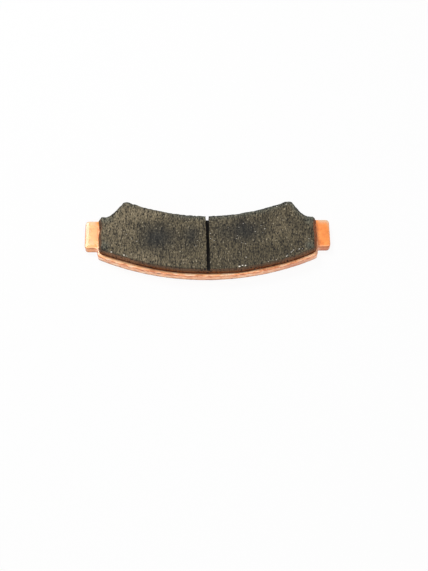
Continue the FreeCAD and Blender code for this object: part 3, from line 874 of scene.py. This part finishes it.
def copper_plated_steel(colours):
    """Steel blanked from sheet, tumbled and copper plated: a satin metal under a thin clear film that keeps
    it from tarnishing. The faces are mottled where the plating is thicker. On the edge the torn lower band
    is paler than the sheared one above it, both carry lengthwise lines, the pale ones painted glints, and
    brown stains follow the arrises; the lower part of the edge darkens towards the floor, partly painted
    shade. The bare strip in front of the block is painted paler as a highlight, and a dark line of painted
    contact shadow follows the block's foot.
    """
    material = new_material("copper_plated_blanked_steel")
    tree = material.node_tree
    place = add(tree, "ShaderNodeTexCoord", out="Object")
    height = add(tree, "ShaderNodeSeparateXYZ", {0: place}, out="Z")
    zones = {key: add(tree, "ShaderNodeAttribute", out="Fac", attribute_name=key)
             for key in ("edge", "bare", "foot", "worn", "ear", "along", "inward")}
    edge, bare, ear = (zones[key] for key in ("edge", "bare", "ear"))
    on_edge = add(tree, "ShaderNodeCombineXYZ", {"X": zones["along"], "Y": zones["inward"], "Z": height})
    on_edge = add(tree, "ShaderNodeMapping", {"Vector": on_edge, "Scale": per_mm(3.2, 0.5, 0.4)})
    mottle, spots, grain, lines = (
        add(tree, "ShaderNodeTexNoise", dict(zip(NOISE, values))) for values in (
            (place, per_mm(2.5)[0], 5, 0.6), (place, per_mm(1.3)[0], 3), (place, per_mm(0.35)[0], 2),
            (on_edge, 1, 3)))

    # Masks: what each depends on, from where to where it rises, and its least and most where not 0 and 1.
    masks = {key: add(tree, "ShaderNodeMapRange", dict(zip(MASK, values))) for key, values in {
        "thick": (mottle, 0.35, 0.7),
        "rough": (mottle, 0.3, 0.7, 0.52, 0.64),
        "sheared": (height, 1.55 * MM, 1.85 * MM),
        # The edge darkens towards the floor: brown spots, and painted shade at its foot.
        "low": (height, 1.2 * MM, 0.3 * MM),
        "high": (height, 2.3 * MM, 2.7 * MM),
        "rolled": (height, 3.05 * MM, 3.3 * MM),
        "low_spots": (spots, 0.4, 0.62, 0.35, 0.85),
        "high_spots": (spots, 0.4, 0.62, 0.1, 0.85),
        "burnt": (lines, 0.46, 0.36),
        # The pale streaks of the edge are painted glints.
        "glint": (lines, 0.51, 0.61),
    }.items()}
    # The bare strip in front of the block is painted paler, as a highlight.
    ledge = add(tree, "ShaderNodeMath", {0: bare, 1: edge}, operation="SUBTRACT", use_clamp=True)
    outer = add(tree, "ShaderNodeMath", {0: ledge, 1: LEDGE_STREAKS, 2: edge}, operation="MULTIPLY_ADD")
    outer = add(tree, "ShaderNodeMath", {0: outer, 1: ear}, operation="SUBTRACT", use_clamp=True)
    masks["worn"] = zones["worn"]
    masks["high"] = add(
        tree, "ShaderNodeMath", {0: masks["high"], 1: masks["rolled"]}, operation="SUBTRACT")
    for key, *others in (
            ("worn", ear), ("burnt", outer), ("glint", outer),
            ("low", masks["low_spots"], edge, bare), ("high", masks["high_spots"], edge, bare)):
        for other in others:
            masks[key] = add(tree, "ShaderNodeMath", {0: masks[key], 1: other}, operation="MULTIPLY")

    face = layered(tree, colours.face_copper, [(masks["thick"], colours.deep_copper)])
    band = layered(tree, colours.torn_copper, [(masks["sheared"], colours.sheared_copper), (ear, face)])
    base = layered(tree, face, [
        (edge, band), (ledge, colours.ledge_highlight), (masks["worn"], colours.worn_copper),
        (masks["burnt"], colours.burnt_copper_and_shade), (masks["glint"], colours.glint),
        # The dark line along the block's foot is painted contact shadow.
        (zones["foot"], colours.foot_shadow), (masks["low"], colours.tarnish_and_shade),
        (masks["high"], colours.burnt_copper_and_shade), *patches(tree, place, mottle, colours, STAINS)])
    relief = add(tree, "ShaderNodeMix", {FACTOR: edge, FIRST_NUMBER: grain, SECOND_NUMBER: lines})
    bump = add(tree, "ShaderNodeBump", {"Height": relief, "Strength": 0.25, "Distance": 0.04 * MM})
    shader = add(tree, "ShaderNodeBsdfPrincipled", {
        "Base Color": base, "Metallic": 0.6, "Roughness": masks["rough"], "Normal": bump,
        "Coat Weight": 1, "Coat Roughness": 0.16})
    add(tree, "ShaderNodeOutputMaterial", {"Surface": shader})
    return material


# Patches of the friction face: colour, place on the pad, half sizes along and across it, in millimetres,
# and strength. The pale patches, most on the left half, are a painted sheen of the light, and the dark
# ones, most on the right half, painted shade; graphite smudges lie on the middle, and the corners are
# denser and greyer.
PATCHES = (
    ("binder_sheen", (-40.0, 2.0), (14.0, 18.0), 0.5), ("binder_sheen", (-26.0, 9.0), (20.0, 7.0), 0.65),
    ("binder_sheen", (-24.0, -14.0), (21.0, 6.5), 0.55), ("binder_sheen", (32.0, 1.0), (8.0, 6.0), 0.25),
    ("binder_dark_and_shade", (28.0, -11.5), (22.0, 7.0), 0.9), ("binder_dark_and_shade", (17.0, -16.2), (12.0, 4.5), 0.9),
    ("binder_dark_and_shade", (41.0, 1.0), (8.0, 14.0), 0.55), ("binder_dark_and_shade", (-17.5, -12.5), (6.0, 5.0), 0.7),
    ("smudge", (-21.6, -4.2), (12.4, 10.8), 1.0), ("smudge", (-6.8, -3.4), (5.8, 8.5), 0.8),
    ("smudge", (15.8, -1.0), (12.8, 9.0), 0.95), ("smudge", (6.0, -0.5), (6.0, 8.0), 0.45),
    ("slate", (-43.3, 5.2), (4.0, 3.0), 0.5), ("slate", (-43.4, -8.0), (3.2, 3.6), 0.5),
    ("slate", (43.6, 4.5), (3.6, 4.0), 0.5), ("slate", (43.1, -8.4), (3.0, 3.4), 0.5),
)
# Patches of the block's walls, with a height too: paler stretches towards both ends, and an orange tint
# on the bevel of the right end.
WALL_PATCHES = (
    ("wall_pale", (-36.0, -13.0, 5.0), (15.0, 9.0, 5.0), 0.9),
    ("wall_pale", (37.0, -12.5, 5.0), (13.0, 8.0, 5.0), 0.6),
    ("burnt_copper_and_shade", (46.2, -2.0, 5.0), (2.4, 12.0, 4.0), 0.4),
)


def sintered_metal(colours):
    """Sintered copper, iron and graphite powder, pressed and then ground: matt, open-pored and flecked
    along the marks of the grinding wheel, with bright metal grains and smudges of graphite. The powder is
    finer than the flecks drawn here, which stand for clusters of its grains. Painted shade darkens the
    pores, pits and saw cut, chips carry a painted highlight, the face is painted paler mostly on its left
    half and darker mostly on its right, and the walls carry a painted reflection of the copper and a
    painted contact shadow at their foot."""
    material = new_material("sintered_metal_ground")
    tree = material.node_tree
    place = add(tree, "ShaderNodeTexCoord", out="Object")
    height = add(tree, "ShaderNodeSeparateXYZ", {0: place}, out="Z")
    zones = {key: add(tree, "ShaderNodeAttribute", out="Fac", attribute_name=key)
             for key in ("wall", "cut", "behind", "brow", "pits", "chips")}
    flecked, streaked, sparkling = (
        add(tree, "ShaderNodeMapping", {"Vector": place, "Scale": per_mm(*sizes)})
        for sizes in ((0.45, 1.2, 0.8), (0.5, 4.5, 4.5), (0.55, 0.9, 0.7)))
    cloud, grain, flecks, streaks, sparkle = (
        add(tree, "ShaderNodeTexNoise", dict(zip(NOISE, values))) for values in (
            (place, per_mm(7)[0], 4), (place, per_mm(0.8)[0], 4, 0.65), (flecked, 1, 2, 0.6),
            (streaked, 1, 2), (sparkling, 1, 1)))
    flecks = add(tree, "ShaderNodeMix", {
        FACTOR: STREAK_SHARE, FIRST_NUMBER: flecks, SECOND_NUMBER: streaks})

    # Masks: what each depends on, from where to where it rises, and its least and most where not 0 and 1.
    masks = {key: add(tree, "ShaderNodeMapRange", dict(zip(MASK, values))) for key, values in {
        "dark": (cloud, 0.35, 0.68),
        "back": (zones["behind"], 0, 1, 0, 0.75),
        "speck": (sparkle, 0.62, 0.74, 0, 0.42),
        "faint_speck": (sparkle, 0.62, 0.74, 0, 0.1386),
        # Rises towards the walls' foot: the painted reflection of the copper.
        "foot": (height, BLOCK_LOW.z + 2.2 * MM, BLOCK_LOW.z + 0.4 * MM),
        # A dark line at the walls' foot: painted contact shadow.
        "foot_shadow_line": (height, BLOCK_LOW.z + 0.75 * MM, BLOCK_LOW.z + 0.3 * MM, 0, 0.75),
        "shade": (flecks, 0.385, 0.615, 0.05, 1.95),
        "calm": (zones["wall"], 0, 1, 0, 0.5),
        "back_line": (zones["behind"], 0.85, 1, 1, 0.45),
        "brow_line": (zones["brow"], 0, 1, 1, 0.6),
        "hollow": (zones["pits"], 0.1, 0.5, 0, 0.95),
        "fresh": (zones["chips"], 0.3, 0.8),
        "rough": (grain, 0.3, 0.7, 0.6, 0.85),
    }.items()}
    on_face = [(key, (*middle, BLOCK_HIGH.z / MM), (*reach, BLOCK_THICKNESS / MM), strength)
               for key, middle, reach, strength in PATCHES]
    # The walls redden towards the plate, a painted reflection of the copper, and darken at their foot, a
    # painted contact shadow.
    walls = layered(tree, colours.wall, [
        (masks["foot"], colours.wall_copper_reflection), *patches(tree, place, grain, colours, WALL_PATCHES),
        (masks["foot_shadow_line"], colours.foot_shadow)])
    tone = layered(tree, colours.binder, [
        (masks["dark"], colours.binder_dark_and_shade), (masks["back"], colours.slate),
        (masks["speck"], colours.speck), *patches(tree, place, grain, colours, on_face),
        (masks["faint_speck"], colours.speck), (zones["wall"], walls)])

    # The flecks show less on the walls, and two dark lines follow the back edge and the front arris.
    shade = add(tree, "ShaderNodeMix", {
        FACTOR: masks["calm"], FIRST_NUMBER: masks["shade"], SECOND_NUMBER: 1})
    for key in ("back_line", "brow_line"):
        shade = add(tree, "ShaderNodeMath", {0: shade, 1: masks[key]}, operation="MULTIPLY")
    tone = add(tree, "ShaderNodeVectorMath", {0: tone, "Scale": shade}, operation="SCALE")
    # Pits, pores and the saw cut are painted dark, as their shade.
    hollow = add(tree, "ShaderNodeMath", {0: masks["hollow"], 1: zones["cut"]}, operation="MAXIMUM")
    tone = layered(tree, tone, [(hollow, colours.pore_shade), (masks["fresh"], colours.chip)])
    bump = add(tree, "ShaderNodeBump", {"Height": grain, "Strength": 0.5, "Distance": 0.1 * MM})
    shader = add(tree, "ShaderNodeBsdfPrincipled", {
        "Base Color": tone, "Metallic": 0.1, "Roughness": masks["rough"], "Normal": bump,
        "Specular IOR Level": 0.3})
    add(tree, "ShaderNodeOutputMaterial", {"Surface": shader})
    return material


def seen_rays(tree):
    """1 for the rays by which something is seen, directly, mirrored or through glass, and 0 for those that
    only carry light."""
    path = add(tree, "ShaderNodeLightPath").node
    seen = path.outputs["Is Camera Ray"]
    for ray in ("Is Glossy Ray", "Is Transmission Ray"):
        seen = add(tree, "ShaderNodeMath", {0: seen, 1: path.outputs[ray]}, operation="MAXIMUM")
    return seen


def white_surroundings(settings):
    """Even light all round, which is plain white where it is seen."""
    world = bpy.data.worlds.new("white_surroundings")
    world.use_nodes = True
    tree = world.node_tree
    tree.nodes.clear()
    seen = seen_rays(tree)
    strength = add(tree, "ShaderNodeMapRange", {"Value": seen, "To Min": settings.sky, "To Max": 1})
    light = add(tree, "ShaderNodeBackground", {"Color": (1, 1, 1, 1), "Strength": strength})
    add(tree, "ShaderNodeOutputWorld", {"Surface": light})
    return world


def white_floor(settings):
    """White paper: matt, and mixed with plain white where it is seen, so that it is white and still shows
    the pad's shadow."""
    material = new_material("white_paper")
    tree = material.node_tree
    seen = seen_rays(tree)
    white = add(tree, "ShaderNodeMath", {0: seen, 1: settings.floor_white}, operation="MULTIPLY")
    paper = add(tree, "ShaderNodeBsdfDiffuse", {"Color": settings.paper})
    plain = add(tree, "ShaderNodeEmission", {"Color": (1, 1, 1, 1), "Strength": 1})
    both = add(tree, "ShaderNodeMixShader", {0: white, 1: paper, 2: plain})
    add(tree, "ShaderNodeOutputMaterial", {"Surface": both})
    return material


def add_softbox(name, place, size, brightness):
    """A square lamp of even brightness that faces the pad."""
    lamp = bpy.data.lights.new(name, "AREA")
    lamp.size = size
    lamp.energy = brightness * math.pi * size ** 2
    softbox = bpy.data.objects.new(name, lamp)
    softbox.location = place
    softbox.rotation_euler = Vector(place).to_track_quat("Z", "Y").to_euler()
    softbox.visible_camera = False
    bpy.context.scene.collection.objects.link(softbox)


class PAD_OT_backing_plate(bpy.types.Operator):
    """Build the copper-plated plate in place of its plain solid"""
    bl_idname = "brake_pad.backing_plate"
    bl_label = "Backing plate"

    def execute(self, context):
        piece = build_plate(context.scene.pad_plate)
        piece.data.materials.append(copper_plated_steel(context.scene.pad_colours))
        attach(piece, "root")
        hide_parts("backing_plate")
        return {"FINISHED"}


class PAD_OT_friction_block(bpy.types.Operator):
    """Build the sintered block in place of its plain solid"""
    bl_idname = "brake_pad.friction_block"
    bl_label = "Friction block"

    def execute(self, context):
        piece = build_block(context.scene.pad_plate, context.scene.pad_block)
        piece.data.materials.append(sintered_metal(context.scene.pad_colours))
        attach(piece, "root")
        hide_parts("friction_block")
        return {"FINISHED"}


class PAD_OT_stage(bpy.types.Operator):
    """Lay a white floor, light it softly and set the camera"""
    bl_idname = "brake_pad.stage"
    bl_label = "Stage"

    def execute(self, context):
        scene, settings = context.scene, context.scene.pad_stage
        half = settings.floor_size / 2
        corners = [(x * half, y * half, 0) for x, y in ((-1, -1), (1, -1), (1, 1), (-1, 1))]
        mesh = bpy.data.meshes.new("floor")
        mesh.from_pydata(corners, [], [(0, 1, 2, 3)])
        mesh.materials.append(white_floor(settings))
        floor = bpy.data.objects.new("floor", mesh)
        scene.collection.objects.link(floor)

        scene.world = white_surroundings(settings)
        for name in ("overhead", "fill", "key"):
            add_softbox(name + "_softbox", getattr(settings, name + "_place"),
                        getattr(settings, name + "_size"), getattr(settings, name))

        lens = bpy.data.cameras.new("camera")
        lens.lens = settings.focal_length
        camera = bpy.data.objects.new("camera", lens)
        level = math.cos(settings.elevation)
        back = Vector((math.sin(settings.azimuth) * level, -math.cos(settings.azimuth) * level,
                       math.sin(settings.elevation)))
        camera.location = Vector(settings.aim) + back * settings.distance
        camera.rotation_euler = back.to_track_quat("Z", "Y").to_euler()
        scene.collection.objects.link(camera)
        scene.camera = camera
        scene.view_settings.view_transform = "Standard"
        return {"FINISHED"}


class PAD_PT_panel(bpy.types.Panel):
    """The pad's operators and settings, in the sidebar"""
    bl_idname = "PAD_PT_panel"
    bl_label = "Disc brake pad"
    bl_space_type = "VIEW_3D"
    bl_region_type = "UI"
    bl_category = "Brake pad"

    def draw(self, context):
        for operator in OPERATORS:
            self.layout.operator(operator.bl_idname)
        for key, group in SETTINGS.items():
            box = self.layout.box()
            box.label(text=group.__doc__.split(",")[0].rstrip("."))
            for name in group.__annotations__:
                box.prop(getattr(context.scene, key), name)


SETTINGS = {"pad_plate": PlateSizes, "pad_block": BlockSizes, "pad_colours": PadColours,
            "pad_stage": StageSettings}
OPERATORS = (PAD_OT_backing_plate, PAD_OT_friction_block, PAD_OT_stage)


def register():
    for part in (*SETTINGS.values(), *OPERATORS, PAD_PT_panel):
        bpy.utils.register_class(part)
    for key, group in SETTINGS.items():
        setattr(bpy.types.Scene, key, PointerProperty(type=group))


def unregister():
    for key in SETTINGS:
        delattr(bpy.types.Scene, key)
    for part in (PAD_PT_panel, *reversed(OPERATORS), *SETTINGS.values()):
        bpy.utils.unregister_class(part)


def main():
    register()
    bpy.ops.brake_pad.backing_plate()
    bpy.ops.brake_pad.friction_block()
    bpy.ops.brake_pad.stage()


if __name__ == "__main__":
    main()
